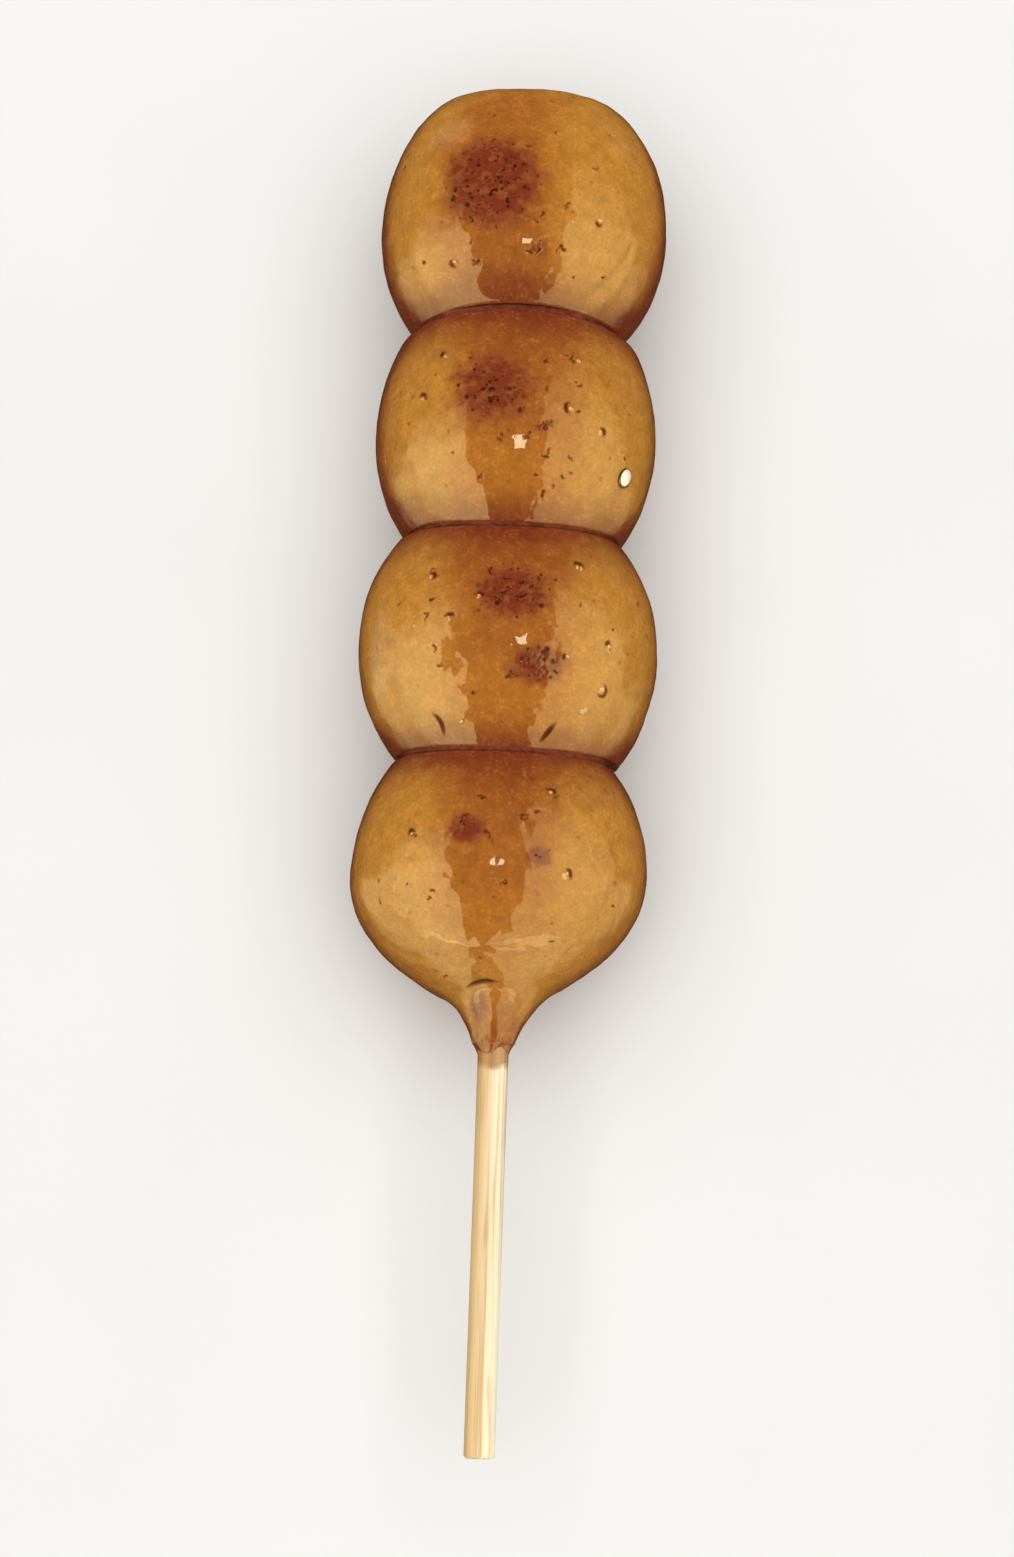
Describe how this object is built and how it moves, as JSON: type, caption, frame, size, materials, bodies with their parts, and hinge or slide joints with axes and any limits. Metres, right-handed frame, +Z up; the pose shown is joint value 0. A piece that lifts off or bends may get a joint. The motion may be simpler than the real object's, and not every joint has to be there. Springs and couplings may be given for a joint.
{
  "type": "dango skewer",
  "caption": "Soft rice dumplings pressed side by side on a round bamboo stick, scorched in spots and coated with a thick soy and sugar glaze, lying on their side.",
  "frame": {"origin": "on the table, below the middle of the whole skewer's box", "axes": "+Y along the stick, from the bare handle towards the first dumpling, +Z up from the table"},
  "size_m": [0.0344, 0.1564, 0.0276],
  "materials": {
    "glazed_dumpling": "steamed rice dough, scorched in spots, under a wet glossy soy and sugar glaze",
    "syrup": "clear reddish brown soy and sugar syrup, thick and wet",
    "bamboo": "turned pale bamboo, dry, with fine fibres along it"
  },
  "bodies": {
    "root": {"dumpling_1": "glazed_dumpling", "dumpling_2": "glazed_dumpling", "dumpling_3": "glazed_dumpling", "dumpling_4": "glazed_dumpling", "stick": "bamboo"}
  },
  "joints": []
}
